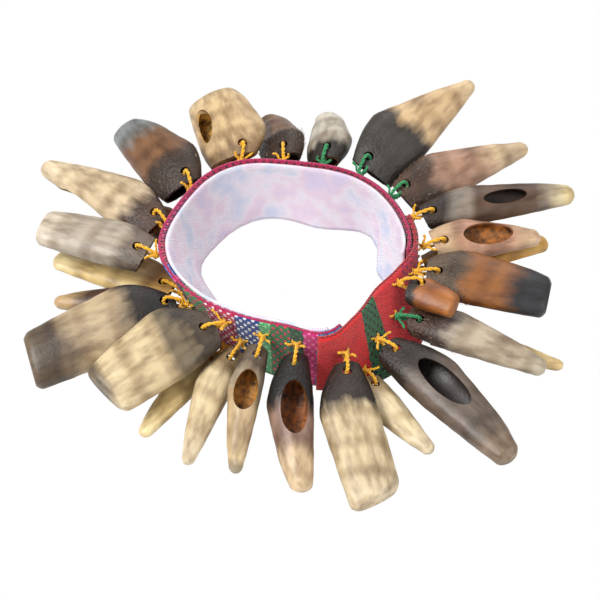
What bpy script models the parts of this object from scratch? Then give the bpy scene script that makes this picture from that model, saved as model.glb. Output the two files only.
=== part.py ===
"""Bracelet shaker: hollow goat claws tied with yarn to a loop of woven cloth.

The bracelet lies on its lower edge, top rim up, and is seen from the front along +Y.
Sizes below are in millimetres and are turned to metres where a mesh or a place is made.
Angles are in degrees; an azimuth runs from +X (the wearer's right) through +Y (the back).
"""
import math
from dataclasses import dataclass

import bmesh
import bpy
from mathutils import Matrix, Vector

MM = 0.001

# The cloth loop: a woven strip, its cotton lining and the end panel that laps over it.
STRIP_HEIGHT = 25.0
WOVEN_THICKNESS = 1.5
LINING_THICKNESS = 0.9
CLOTH_GAP = 0.3
LINING_GAP = 0.45
LINING_INSET = 1.2
STRIP_START = -2.0
STRIP_END = 292.0
LINING_END = 286.0
LAP_START = 280.0
LAP_END = 382.0
CLOTH_STEP = 6.0
CLOTH_ROWS = 3
FOLD_DEPTH = 3.2
FOLD_COUNT = 7
CENTRE_X = -2.85
CENTRE_Y = 7.05

# Outer face of the woven strip, as (azimuth, radius) at its top rim and at its lower edge.
TOP_RIM = ((0, 35.0), (30, 36.5), (60, 38.0), (90, 38.5), (120, 43.0), (150, 41.0), (180, 41.5),
           (210, 37.5), (240, 34.0), (265, 34.0), (284, 38.0), (300, 33.5), (322, 29.0), (343, 31.0))
LOWER_EDGE = ((0, 36.0), (25, 34.0), (50, 40.0), (75, 39.5), (105, 41.0), (125, 42.0), (150, 36.0),
              (178, 29.5), (205, 29.5), (235, 29.5), (258, 31.0), (284, 36.0), (304, 40.0),
              (322, 41.0), (342, 40.0))

# Horn shells and the yarn that ties them.
WALL = 1.2
RIM_FROM_KNOT = 2.9
HOLE_FROM_RIM = 3.8
HOLE_RADIUS = 1.4
YARN_RADIUS = 0.6
YARN_GAP = 0.35
KNOT_RADIUS = 1.45
KNOT_GAP = 0.35
SECTION_POINTS = 12
HOLE_SIDES = 8
MOUTH_SIDES = 12
OUTER_STATIONS = (0.0, 0.16, 0.36, 0.60, 0.82, 0.95)
INNER_STATIONS = (0.0, 0.16, 0.36, 0.60, 0.84)
TOE_CAP = 0.45


@dataclass(frozen=True)
class Claw:
    """One horn shell: where its knot sits on the strip, how it lies and its own shape."""

    name: str
    azimuth: float
    height: float
    heading: float
    droop: float
    roll: float
    length: float
    depth: float
    width: float
    neck: float = 0.78
    toe: float = 0.55
    rake: float = 20.0
    side: float = 0.0
    straight: float = 0.6
    square: float = 0.0
    cut: float = 0.0
    tie_at: float = 90.0
    mouth_at: float = 90.0
    mouth_from: float = 0.0
    mouth_long: float = 0.0
    mouth_wide: float = 0.0
    colour: tuple = (0.60, 0.50, 0.35)
    yarn: str = "yellow"


CLAWS = (
    Claw("01", 161, 20, 138, 2, 66, 49, 18, 10, neck=0.66, toe=0.42, rake=25,
         mouth_at=-28, mouth_from=16, mouth_long=24, mouth_wide=5,
         colour=(0.58, 0.47, 0.32)),
    Claw("02", 181, 22, 158, 1, 76, 36, 17, 9, neck=0.80, toe=0.80, rake=20, square=0.8,
         colour=(0.39, 0.34, 0.29)),
    Claw("03", 184, 8, 156, 1, 86, 40, 17, 7.5, neck=0.70, toe=0.55, rake=15,
         colour=(0.67, 0.51, 0.23)),
    Claw("04", 201, 12, 167, 5, 60, 38, 12, 8, neck=0.70, toe=0.45, rake=20,
         colour=(0.07, 0.03, 0.01)),
    Claw("05", 209, 18, 202, 9, 62, 47, 23, 11, neck=0.48, toe=0.85, rake=25, square=0.9, cut=-8,
         colour=(0.45, 0.36, 0.23)),
    Claw("06", 234, 21, 217, 8, 70, 39, 24, 10, neck=0.56, toe=0.80, rake=25, square=0.8, cut=8,
         colour=(0.61, 0.50, 0.31)),
    Claw("07", 229, 7, 235, 1, 84, 38, 11, 7, neck=0.70, toe=0.50, rake=15,
         colour=(0.71, 0.56, 0.28)),
    Claw("08", 242, 14, 248, 12, 75, 40, 12, 9, neck=0.62, toe=0.42, rake=25,
         colour=(0.66, 0.55, 0.35)),
    Claw("09", 254, 20, 259, 18, 75, 40, 11, 10, neck=0.70, toe=0.50, rake=30,
         mouth_at=80, mouth_from=9, mouth_long=13, mouth_wide=7,
         colour=(0.52, 0.40, 0.24)),
    Claw("10", 271, 20, 272, 17, 88, 43, 15, 12, neck=0.62, toe=0.60, rake=30,
         mouth_at=80, mouth_from=10, mouth_long=17, mouth_wide=8,
         colour=(0.27, 0.17, 0.14)),
    Claw("11", 292, 17, 284, 12, 85, 46, 19, 10, neck=0.54, toe=0.92, rake=30, square=0.9, cut=20,
         colour=(0.61, 0.50, 0.33)),
    Claw("12", 300, 8, 302, 2, 80, 32, 12, 8, neck=0.80, toe=0.45, rake=15,
         colour=(0.72, 0.61, 0.40)),
    Claw("13", 310, 15, 313, 6, -80, 53, 18, 12, neck=0.62, toe=0.60, rake=30,
         mouth_at=97, mouth_from=12, mouth_long=21, mouth_wide=8,
         colour=(0.15, 0.12, 0.10)),
    Claw("14", 326, 16, 342, 8, -72, 44, 14, 9, neck=0.66, toe=0.50, rake=30,
         colour=(0.47, 0.40, 0.31), yarn="green"),
    Claw("15", 336, 6, 344, 1, -88, 41, 11, 6, neck=0.75, toe=0.45, rake=15,
         colour=(0.64, 0.47, 0.21)),
    Claw("16", 349, 21, 349, 6, -75, 38, 19, 9, neck=0.66, toe=0.85, rake=30, square=0.6,
         colour=(0.27, 0.10, 0.03)),
    Claw("17", 336, 23, 331, -4, -70, 16, 11, 8, neck=0.80, toe=0.80, rake=20, square=0.5,
         colour=(0.32, 0.11, 0.02)),
    Claw("18", 6, 21, 14, 2, -75, 34, 15, 9, neck=0.80, toe=0.45, rake=25,
         mouth_at=100, mouth_from=10, mouth_long=16, mouth_wide=8,
         colour=(0.49, 0.27, 0.19)),
    Claw("19", 25, 21, 14, 0, -75, 49, 14, 10, neck=0.66, toe=0.60, rake=25,
         mouth_at=110, mouth_from=20, mouth_long=14, mouth_wide=5,
         colour=(0.11, 0.06, 0.04)),
    Claw("20", 14, 7, 18, 0, -88, 40, 14, 7, neck=0.75, toe=0.60, rake=15,
         colour=(0.60, 0.32, 0.06)),
    Claw("21", 41, 21, 33, -2, -60, 47, 17, 10, neck=0.72, toe=0.36, rake=25,
         colour=(0.40, 0.24, 0.17), yarn="green"),
    Claw("22", 60, 22, 48, -15, -60, 47, 22, 12, neck=0.72, toe=0.26, rake=15,
         colour=(0.58, 0.42, 0.25), yarn="green"),
    Claw("23", 78, 22, 86, 4, 50, 26, 17, 12, neck=0.70, toe=0.60, rake=20,
         colour=(0.47, 0.45, 0.39), yarn="green"),
    Claw("24", 95, 22, 98, 8, 50, 28, 17, 12, neck=0.80, toe=0.55, rake=20,
         colour=(0.16, 0.09, 0.05)),
    Claw("25", 113, 22, 106, -2, 64, 31, 24, 12, neck=0.70, toe=0.80, rake=20, square=0.5,
         mouth_at=10, mouth_from=10, mouth_long=15, mouth_wide=5,
         colour=(0.61, 0.46, 0.26)),
    Claw("26", 138, 21, 122, 0, 60, 37, 21, 12, neck=0.70, toe=0.65, rake=20,
         colour=(0.19, 0.09, 0.04)),
    Claw("27", 150, 8, 138, 1, 80, 30, 14, 7.5, neck=0.75, toe=0.55, rake=15,
         colour=(0.39, 0.14, 0.03)),
)

YARN_COLOURS = {"yellow": (0.80, 0.55, 0.04), "green": (0.02, 0.30, 0.13)}


def clear_scene():
    """Remove whatever the scene holds."""
    for item in list(bpy.data.objects):
        bpy.data.objects.remove(item, do_unlink=True)


def finish(name, colour, roughness, metallic=0.0):
    """Return a Principled material."""
    material = bpy.data.materials.new(name)
    material.use_nodes = True
    shader = material.node_tree.nodes["Principled BSDF"]
    shader.inputs["Base Color"].default_value = (*colour, 1.0)
    shader.inputs["Roughness"].default_value = roughness
    shader.inputs["Metallic"].default_value = metallic
    return material


def add_object(name, data, material):
    """Link data as a named object with its material."""
    item = bpy.data.objects.new(name, data)
    bpy.context.scene.collection.objects.link(item)
    data.materials.append(material)
    return item


def rim_radius(table, azimuth):
    """Radius at an azimuth on a smooth closed curve through the table's points."""
    count = len(table)
    azimuth %= 360.0
    index = max((i for i in range(count) if table[i][0] <= azimuth), default=count - 1)

    def point(i):
        turns, place = divmod(i, count)
        return table[place][0] + 360.0 * turns, table[place][1]

    (a0, r0), (a1, r1), (a2, r2), (a3, r3) = (point(index + k) for k in (-1, 0, 1, 2))
    span = a2 - a1
    t = (azimuth - a1) / span
    slope1 = (r2 - r0) / (a2 - a0) * span
    slope2 = (r3 - r1) / (a3 - a1) * span
    return ((2 * t**3 - 3 * t**2 + 1) * r1 + (t**3 - 2 * t**2 + t) * slope1
            + (3 * t**2 - 2 * t**3) * r2 + (t**3 - t**2) * slope2)


def strip_point(azimuth, height, offset=0.0):
    """Point on the woven strip's outer face, moved out by offset, in millimetres."""
    share = height / STRIP_HEIGHT
    radius = rim_radius(LOWER_EDGE, azimuth) * (1 - share) + rim_radius(TOP_RIM, azimuth) * share
    angle = math.radians(azimuth)
    reach = radius + offset
    return Vector((CENTRE_X + reach * math.cos(angle), CENTRE_Y + reach * math.sin(angle), height))


def cloth_ring(bm, azimuth, outer, inner, low, high):
    """Add one closed cross-section of a cloth layer: up its outer face and down its inner one."""
    heights = [low + (high - low) * row / CLOTH_ROWS for row in range(CLOTH_ROWS + 1)]
    face = [strip_point(azimuth, z, outer(azimuth, z)) for z in heights]
    back = [strip_point(azimuth, z, inner(azimuth, z)) for z in reversed(heights)]
    return [bm.verts.new(p * MM) for p in face + back]


def loft(bm, rings):
    """Join each ring to the next one with a band of quads."""
    for ring, following in zip(rings, rings[1:]):
        for i in range(len(ring)):
            bm.faces.new((ring[i - 1], ring[i], following[i], following[i - 1]))


def to_mesh(bm, name):
    """Turn the bmesh into a mesh whose faces point out."""
    bmesh.ops.recalc_face_normals(bm, faces=bm.faces)
    mesh = bpy.data.meshes.new(name)
    bm.to_mesh(mesh)
    bm.free()
    mesh.shade_smooth()
    mesh.set_sharp_from_angle(angle=math.radians(38))
    return mesh


def cloth_layer(name, start, end, outer, inner, low, high, material):
    """Build a strip of cloth round the loop, from one azimuth to another."""
    bm = bmesh.new()
    steps = round((end - start) / CLOTH_STEP)
    rings = [cloth_ring(bm, start + (end - start) * i / steps, outer, inner, low, high)
             for i in range(steps + 1)]
    loft(bm, rings)
    bm.faces.new(rings[0])
    bm.faces.new(rings[-1])
    return add_object(name, to_mesh(bm, name), material)


def lining_face(azimuth, height):
    """Offset of the lining's outer face from the woven strip's outer face."""
    return -WOVEN_THICKNESS - LINING_GAP


def lining_fold(azimuth, height):
    """Offset of the lining's inner face: soft folds that swell towards its lower edge."""
    swell = 1.0 - height / STRIP_HEIGHT
    wave = 0.5 - 0.5 * math.cos(math.radians(azimuth * FOLD_COUNT))
    return lining_face(azimuth, height) - LINING_THICKNESS - FOLD_DEPTH * wave * swell


def lap_face(azimuth, height):
    """Offset of the lap panel's inner face, just outside the woven strip."""
    return CLOTH_GAP


def build_cloth():
    """Build the woven strip, its lining and the lap panel."""
    woven = finish("woven_wool", (0.42, 0.10, 0.16), 0.9)
    cotton = finish("cotton_lining", (0.85, 0.80, 0.86), 0.9)
    red = finish("red_wool", (0.62, 0.03, 0.03), 0.9)
    cloth_layer("woven_band", STRIP_START, STRIP_END, lambda a, z: 0.0,
                lambda a, z: -WOVEN_THICKNESS, 0.0, STRIP_HEIGHT, woven)
    cloth_layer("cotton_lining", STRIP_START, LINING_END, lining_face, lining_fold,
                LINING_INSET, STRIP_HEIGHT - CLOTH_GAP, cotton)
    cloth_layer("lap_panel", LAP_START, LAP_END, lambda a, z: lap_face(a, z) + WOVEN_THICKNESS,
                lap_face, 0.0, STRIP_HEIGHT, red)


def taper(claw, station):
    """Scale of the shell's section along its length: neck, full body, then toe."""
    if station <= 0.36:
        rise = math.sin(math.radians(90 * station / 0.36))
        return claw.neck + (1 - claw.neck) * rise
    fall = (station - 0.36) / 0.64
    body = 1 - (1 - claw.toe) * fall
    rounding = max(0.0, fall - 0.55) ** 2 * 2.2 * (1 - claw.square)
    return body * math.sqrt(1 - rounding)


def section(claw, station, inset):
    """One ring of the shell: arched wall above, flatter sole below, flat on the inner side."""
    scale = taper(claw, station)
    half_depth = claw.depth * scale / 2 - inset
    half_width = claw.width * max(scale, 0.62) / 2 - inset
    drop = claw.straight * (1 - scale) * claw.depth / 2
    roll = math.radians(claw.roll)
    points = []
    for i in range(SECTION_POINTS):
        angle = math.tau * i / SECTION_POINTS
        across = half_width * math.cos(angle)
        up = half_depth * math.sin(angle)
        if up < 0:
            across = math.copysign(abs(math.cos(angle)) ** 0.7, math.cos(angle)) * half_width
            up *= 0.9
        if across < 0:
            across *= 0.85
        up -= drop
        y = across * math.cos(roll) - up * math.sin(roll)
        z = across * math.sin(roll) + up * math.cos(roll)
        points.append(Vector((up * math.tan(math.radians(claw.cut)) * station**2, y, z)))
    return points


def shell_ring(claw, station, inset):
    """Place a section along the claw, leaning its plane back towards the open neck."""
    lean = (1 - station) ** 1.5
    rake = math.tan(math.radians(claw.rake))
    side = math.tan(math.radians(claw.side))
    edge = min(side * p.y - rake * p.z for p in section(claw, 0.0, 0.0))
    reach = station * (claw.length - 2.0) if inset else station * claw.length
    points = section(claw, station, inset)
    for p in points:
        p.x += reach + lean * (side * p.y - rake * p.z - edge)
    return points


def tie_frame(claw):
    """Where the yarn crosses the neck: rim point, direction along the wall and outward."""
    first = shell_ring(claw, OUTER_STATIONS[0], 0.0)
    second = shell_ring(claw, OUTER_STATIONS[1], 0.0)
    centre = sum(first, Vector()) / len(first)

    def turn_off(i):
        angle = math.degrees(math.atan2(first[i].z - centre.z, first[i].y - centre.y))
        return abs((angle - claw.tie_at + 180) % 360 - 180)

    chosen = min(range(SECTION_POINTS), key=turn_off)
    rim = first[chosen]
    along = (second[chosen] - rim).normalized()
    outward = rim - centre
    outward.x = 0.0
    outward = (outward - along * outward.dot(along)).normalized()
    return rim, along, outward


def knot_place(claw):
    """The knot's centre in the shell's own frame."""
    rim, along, outward = tie_frame(claw)
    return rim - along * RIM_FROM_KNOT - outward * (WALL / 2)


def cloth_face(azimuth):
    """Offset of the outermost cloth at an azimuth: the strip's own face or the lap panel's."""
    lapped = LAP_START - CLOTH_STEP <= azimuth or azimuth <= LAP_END - 360.0 + CLOTH_STEP
    return CLOTH_GAP + WOVEN_THICKNESS if lapped else 0.0


def knot_on_cloth(claw):
    """Centre of the claw's knot, just clear of the cloth."""
    return strip_point(claw.azimuth, claw.height,
                       cloth_face(claw.azimuth) + KNOT_GAP + KNOT_RADIUS)


def placed(claw):
    """Matrix that lays the claw out from its knot on the strip."""
    return (Matrix.Translation(knot_on_cloth(claw) * MM)
            @ Matrix.Rotation(math.radians(claw.heading), 4, "Z")
            @ Matrix.Rotation(math.radians(claw.droop), 4, "Y"))


def claw_mesh(claw):
    """Loft the hollow shell: outer wall, toe, inner wall and the rim between them."""
    bm = bmesh.new()
    origin = knot_place(claw)
    outer = [[bm.verts.new((p - origin) * MM) for p in shell_ring(claw, s, 0.0)]
             for s in OUTER_STATIONS]
    inner = [[bm.verts.new((p - origin) * MM) for p in shell_ring(claw, s, WALL)]
             for s in INNER_STATIONS]
    toe = [bm.verts.new(v.co) for v in outer[-1]]
    middle = sum((v.co for v in toe), Vector()) / len(toe)
    for v in toe:
        v.co = middle + (v.co - middle) * (TOE_CAP + 0.4 * claw.square)
        v.co.x += claw.length * 0.05 * MM
    loft(bm, [toe] + outer[::-1] + inner)
    bm.faces.new(toe)
    bm.faces.new(inner[-1])
    return to_mesh(bm, "claw_" + claw.name)


def cut(item, name, size, depth, sides, place, outward, along):
    """Cut a round or oval hole: size is its length along the claw and its width."""
    bm = bmesh.new()
    bmesh.ops.create_cone(bm, cap_ends=True, segments=sides, radius1=0.5, radius2=0.5, depth=1.0,
                          matrix=Matrix.Rotation(math.pi / sides, 4, "Z"))
    across = outward.cross(along)
    frame = Matrix((along * size[0], across * size[1], outward * depth)).transposed()
    turn = Matrix.Translation(place * MM) @ (frame * MM).to_4x4()
    bmesh.ops.transform(bm, matrix=turn, verts=bm.verts)
    cutter = add_object(name, to_mesh(bm, name), item.data.materials[0])
    cutter.parent = item
    cutter.hide_render = True
    cutter.display_type = "WIRE"
    hole = item.modifiers.new(name, "BOOLEAN")
    hole.object = cutter
    hole.operation = "DIFFERENCE"
    hole.solver = "EXACT"


def drill(item, claw):
    """Drill the yarn's hole through the wall near the neck."""
    rim, along, outward = tie_frame(claw)
    place = rim + along * HOLE_FROM_RIM - outward * (WALL / 2) - knot_place(claw)
    cut(item, "drill_" + claw.name, (2 * HOLE_RADIUS, 2 * HOLE_RADIUS), WALL + 2.0, HOLE_SIDES,
        place, outward, along)


def open_mouth(item, claw):
    """Cut the long oval mouth where the horn's soft inside has been taken out."""
    middle = claw.mouth_from + claw.mouth_long / 2
    ring = shell_ring(claw, middle / claw.length, 0.0)
    centre = sum(ring, Vector()) / len(ring)
    centre.x = middle
    angle = math.radians(claw.mouth_at)
    outward = Vector((0.0, math.cos(angle), math.sin(angle)))
    depth = claw.depth + claw.width
    place = centre + outward * depth / 2 - knot_place(claw)
    cut(item, "mouth_" + claw.name, (claw.mouth_long, claw.mouth_wide), depth, MOUTH_SIDES,
        place, outward, Vector((1.0, 0.0, 0.0)))


def build_claw(claw):
    """Build one horn shell on its knot."""
    horn = finish("horn_" + claw.name, claw.colour, 0.45)
    item = add_object("claw_" + claw.name, claw_mesh(claw), horn)
    item.matrix_world = placed(claw)
    drill(item, claw)
    if claw.mouth_long:
        open_mouth(item, claw)
    return item


def build_tie(claw):
    """Tie one claw: a yarn ring from the knot, over the rim, through the hole and back."""
    rim, along, outward = tie_frame(claw)
    run = WALL / 2 + YARN_GAP + YARN_RADIUS
    hole = RIM_FROM_KNOT + HOLE_FROM_RIM
    bulge = KNOT_RADIUS - 0.45
    half = [(0.0, 0.45, bulge), (1.5, run - 0.2, YARN_RADIUS), (RIM_FROM_KNOT, run, YARN_RADIUS),
            (hole - 1.1, run, YARN_RADIUS), (hole, 0.5 * run, YARN_RADIUS)]
    route = half + [(u, -n, r) for u, n, r in reversed(half)]
    curve = bpy.data.curves.new("tie_" + claw.name, "CURVE")
    curve.dimensions = "3D"
    curve.bevel_depth = MM
    curve.bevel_resolution = 1
    curve.use_fill_caps = True
    spline = curve.splines.new("POLY")
    spline.points.add(len(route) - 1)
    spline.use_cyclic_u = True
    for point, (u, n, radius) in zip(spline.points, route):
        place = (along * u + outward * n) * MM
        point.co = (*place, 1.0)
        point.radius = radius
    yarn = finish("yarn_" + claw.name, YARN_COLOURS[claw.yarn], 0.85)
    item = add_object("tie_" + claw.name, curve, yarn)
    item.matrix_world = placed(claw)
    return item


def main():
    """Build the whole bracelet."""
    clear_scene()
    build_cloth()
    for claw in CLAWS:
        build_claw(claw)
        build_tie(claw)


main()
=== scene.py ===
import logging
import math
import random
from dataclasses import dataclass
from enum import Enum
from typing import Callable, Optional, Sequence

import bmesh
import bpy
from mathutils import Matrix, Vector, noise


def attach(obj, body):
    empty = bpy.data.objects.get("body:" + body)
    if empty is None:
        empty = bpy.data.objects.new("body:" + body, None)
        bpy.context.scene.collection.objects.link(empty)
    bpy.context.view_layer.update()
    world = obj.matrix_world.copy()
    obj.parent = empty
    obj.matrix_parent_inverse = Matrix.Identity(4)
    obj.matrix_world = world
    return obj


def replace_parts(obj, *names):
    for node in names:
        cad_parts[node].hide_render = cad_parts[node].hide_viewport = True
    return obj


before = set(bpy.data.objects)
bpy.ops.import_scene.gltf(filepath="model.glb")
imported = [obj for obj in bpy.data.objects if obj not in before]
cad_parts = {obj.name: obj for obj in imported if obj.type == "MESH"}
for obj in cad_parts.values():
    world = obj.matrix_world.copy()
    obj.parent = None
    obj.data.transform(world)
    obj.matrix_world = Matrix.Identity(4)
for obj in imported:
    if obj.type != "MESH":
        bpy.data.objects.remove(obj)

LOG = logging.getLogger("bracelet")
Socket = bpy.types.NodeSocket
Stops = Sequence[tuple[float, str]]
MM = 0.001

# Sizes shared with the CAD, in millimetres and degrees. Azimuth 270 faces the camera.
STRIP_HEIGHT = 25.0
CENTRE_X = -2.85
CENTRE_Y = 7.05
TOP_RIM = ((0, 35.0), (30, 36.5), (60, 38.0), (90, 38.5), (120, 43.0), (150, 41.0), (180, 41.5),
           (210, 37.5), (240, 34.0), (265, 34.0), (284, 38.0), (300, 33.5), (322, 29.0), (343, 31.0))
LOWER_EDGE = ((0, 36.0), (25, 34.0), (50, 40.0), (75, 39.5), (105, 41.0), (125, 42.0), (150, 36.0),
              (178, 29.5), (205, 29.5), (235, 29.5), (258, 31.0), (284, 36.0), (304, 40.0),
              (322, 41.0), (342, 40.0))
WALL = 1.2
RIM_FROM_KNOT = 2.9
HOLE_FROM_RIM = 3.8
HOLE_RADIUS = 1.4
YARN_RADIUS = 0.6
YARN_GAP = 0.35
KNOT_RADIUS = 1.45
KNOT_GAP = 0.35
CAD_POINTS = 12
RING_POINTS = 48
FIRST_STATION = 0.16
LAST_STATION = 0.95
INNER_END = 0.84
FULL_BODY = 0.36
OUTER_RINGS = 30
INNER_RINGS = 18
TOE_SHARES = (0.35, 0.62, 0.82, 0.95, 1.0, 1.0)
CLOTH_ROWS = 16
FOLD_COUNT = 7
PLY_TWIST = 2.6
LAPPED_FROM = 274.0
LAPPED_TO = 28.0
LAP_FACE = 1.8

# Colour of the cloth along its length, as (share of the length, sRGB hex): ground, then dashes.
STRIP_BANDS = ((0.0, "9A1238"), (0.30, "B81A4A"), (0.50, "7A1448"), (0.60, "CC1444"),
               (0.655, "2450B0"), (0.68, "D8187A"), (0.695, "261A22"), (0.71, "28884A"),
               (0.755, "C8184A"), (0.815, "24408C"), (0.862, "58B474"), (0.88, "2A7E48"),
               (0.915, "16402A"), (0.94, "D8207A"), (0.96, "2A94C0"))
STRIP_DASHES = ((0.0, "2B1020"), (0.30, "3A1026"), (0.50, "E83C88"), (0.60, "2A1420"),
                (0.655, "4478D8"), (0.68, "F05AA0"), (0.695, "463440"), (0.71, "D8344A"),
                (0.755, "FBE4EA"), (0.815, "ECF4FA"), (0.862, "8AD498"), (0.88, "E03C56"),
                (0.915, "2A6A44"), (0.94, "F878B4"), (0.96, "2E48B0"))
LAP_BANDS = ((0.0, "F0161C"), (0.24, "1E6B3A"), (0.36, "EC1422"), (0.62, "D01236"), (0.8, "C4122A"))
LAP_DASHES = ((0.0, "E82222"), (0.24, "101814"), (0.36, "E42028"), (0.62, "8A1C5A"), (0.8, "2A0E14"))


class Slot(Enum):
    """Material slots of the record that pieces take their finish from."""

    WOVEN = "woven_wool"
    COTTON = "cotton_lining"
    RED = "red_wool"
    HORN = "claw_horn"
    YELLOW = "yellow_yarn"
    GREEN = "green_yarn"


@dataclass(frozen=True)
class Horn:
    """Colours of one horn shell, from its neck to its toe, as sRGB hex."""

    neck: str
    body: str
    toe: str
    inside: str = "8A5A2C"
    neck_end: float = 0.18
    toe_start: float = 0.72
    stripes: float = 0.0
    stripe: str = "2A211C"
    hair: int = 0
    gloss: float = 0.45


@dataclass(frozen=True)
class Claw:
    """One horn shell: where its knot sits, how it lies, its shape and its finish."""

    name: str
    azimuth: float
    height: float
    heading: float
    droop: float
    roll: float
    length: float
    depth: float
    width: float
    horn: Horn
    neck: float = 0.78
    toe: float = 0.55
    rake: float = 20.0
    straight: float = 0.6
    square: float = 0.0
    cut: float = 0.0
    mouth_at: float = 90.0
    mouth_from: float = 0.0
    mouth_long: float = 0.0
    mouth_wide: float = 0.0
    green: bool = False


CLAWS = (
    Claw("01", 161, 20, 138, 2, 66, 49, 18, 10, Horn("4A3222", "C9B79A", "D8C9AE", "B8782A"),
         neck=0.66, toe=0.42, rake=25, mouth_at=-28, mouth_from=16, mouth_long=24, mouth_wide=5),
    Claw("02", 181, 22, 158, 1, 76, 36, 17, 9, Horn("6B5F55", "A79E92", "C9C0B2", "6A5138"),
         neck=0.80, toe=0.80, rake=20, square=0.8),
    Claw("03", 184, 8, 156, 1, 86, 40, 17, 7.5, Horn("B08A48", "D6BE84", "E2D2A2"),
         neck=0.70, toe=0.55, rake=15),
    Claw("04", 201, 12, 167, 5, 60, 38, 12, 8, Horn("17110E", "4A3020", "B59A72", "241813"),
         neck=0.70, toe=0.45, rake=20),
    Claw("05", 209, 18, 202, 9, 62, 47, 23, 11,
         Horn("171210", "B3A184", "6A5A48", "2A1E16", 0.24, 0.62, 0.45),
         neck=0.48, toe=0.85, rake=25, square=0.9, cut=-8),
    Claw("06", 234, 21, 217, 8, 70, 39, 24, 10,
         Horn("4B4036", "CDBB98", "D6C6A4", "5A4632", 0.20, 0.8, 0.75),
         neck=0.56, toe=0.80, rake=25, square=0.8, cut=8),
    Claw("07", 229, 7, 235, 1, 84, 38, 11, 7, Horn("A88A52", "DBC690", "E4D4A6"),
         neck=0.70, toe=0.50, rake=15),
    Claw("08", 242, 14, 248, 12, 75, 40, 12, 9, Horn("8E7A58", "D4C3A0", "DDD0B4"),
         neck=0.62, toe=0.42, rake=25),
    Claw("09", 254, 20, 259, 18, 75, 40, 11, 10,
         Horn("5E5244", "BFA987", "D2BF98", "C98A34", 0.18, 0.8, 0.5, "5A6066"),
         neck=0.70, toe=0.50, rake=30, mouth_at=80, mouth_from=9, mouth_long=13, mouth_wide=7),
    Claw("10", 271, 20, 272, 17, 88, 43, 15, 12,
         Horn("15110F", "8F7468", "D2BC9A", "A85E1C", 0.36, 0.66),
         neck=0.62, toe=0.60, rake=30, mouth_at=80, mouth_from=10, mouth_long=17, mouth_wide=8),
    Claw("11", 292, 17, 284, 12, 85, 46, 19, 10,
         Horn("2B211B", "CDBC9C", "DACBAE", "4A3828", 0.30, 0.8, 0.12),
         neck=0.54, toe=0.92, rake=30, square=0.9, cut=20),
    Claw("12", 300, 8, 302, 2, 80, 32, 12, 8, Horn("B7A27A", "DCCDAA", "E2D6BA"),
         neck=0.80, toe=0.45, rake=15),
    Claw("13", 310, 15, 313, 6, -80, 53, 18, 12,
         Horn("2A221D", "6D6058", "8C7A68", "20140F", 0.22, 0.74, 0.3),
         neck=0.62, toe=0.60, rake=30, mouth_at=97, mouth_from=12, mouth_long=21, mouth_wide=8),
    Claw("14", 326, 16, 342, 8, -72, 44, 14, 9,
         Horn("4A3020", "B7AA98", "C9BDA8", "5A4632", 0.26, 0.8, 0.25, "5C6670", 260),
         neck=0.66, toe=0.50, rake=30, green=True),
    Claw("15", 336, 6, 344, 1, -88, 41, 11, 6, Horn("A07C46", "D2B77E", "D8C290"),
         neck=0.75, toe=0.45, rake=15),
    Claw("16", 349, 21, 349, 6, -75, 38, 19, 9,
         Horn("5A4A3C", "8E5A2C", "2A2C32", "4A2E1A", 0.26, 0.62, 0.0, "2A211C", 420),
         neck=0.66, toe=0.85, rake=30, square=0.6),
    Claw("17", 336, 23, 331, -4, -70, 16, 11, 8, Horn("2C2622", "9A5C26", "A86A30"),
         neck=0.80, toe=0.80, rake=20, square=0.5),
    Claw("18", 6, 21, 14, 2, -75, 34, 15, 9, Horn("BFA384", "B98F78", "CDB094", "B06A22"),
         neck=0.80, toe=0.45, rake=25, mouth_at=100, mouth_from=10, mouth_long=16, mouth_wide=8),
    Claw("19", 25, 21, 14, 0, -75, 49, 14, 10,
         Horn("2E1E16", "5E4636", "D8C898", "3A2418", 0.2, 0.78, 0.35, "B9B4AC"),
         neck=0.66, toe=0.60, rake=25, mouth_at=110, mouth_from=20, mouth_long=14, mouth_wide=5),
    Claw("20", 14, 7, 18, 0, -88, 40, 14, 7, Horn("9C6E24", "CC9A44", "D8B060"),
         neck=0.75, toe=0.60, rake=15),
    Claw("21", 41, 21, 33, -2, -60, 47, 17, 10,
         Horn("4C3526", "A98672", "CDB697", "3A2A20", 0.24, 0.6, 0.2, "262B33", 380),
         neck=0.72, toe=0.36, rake=25, green=True),
    Claw("22", 60, 22, 48, -15, -60, 47, 22, 12,
         Horn("3B3733", "C9AE88", "D3BC98", "3A3029", 0.40, 0.8),
         neck=0.72, toe=0.26, rake=15, green=True),
    Claw("23", 78, 22, 86, 4, 50, 26, 17, 12, Horn("2C2621", "B7B2A8", "C9C4BA"),
         neck=0.70, toe=0.60, rake=20, green=True),
    Claw("24", 95, 22, 98, 8, 50, 28, 17, 12,
         Horn("3A2A20", "6E5340", "85694F", "3A2A20", 0.35, 0.8, 0.0, "2A211C", 520),
         neck=0.80, toe=0.55, rake=20),
    Claw("25", 113, 22, 106, -2, 64, 31, 24, 12,
         Horn("8E7452", "CDB48C", "D8C4A0", "D8A24A", 0.12, 0.8, 0.15, "A88A60"),
         neck=0.70, toe=0.80, rake=20, square=0.5,
         mouth_at=10, mouth_from=10, mouth_long=15, mouth_wide=5),
    Claw("26", 138, 21, 122, 0, 60, 37, 21, 12,
         Horn("3A281C", "7A5638", "7C8288", "3A281C", 0.3, 0.66, 0.0, "2A211C", 260),
         neck=0.70, toe=0.65, rake=20),
    Claw("27", 150, 8, 138, 1, 80, 30, 14, 7.5, Horn("6A3E1C", "A8682E", "B87C40"),
         neck=0.75, toe=0.55, rake=15),
)


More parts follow.
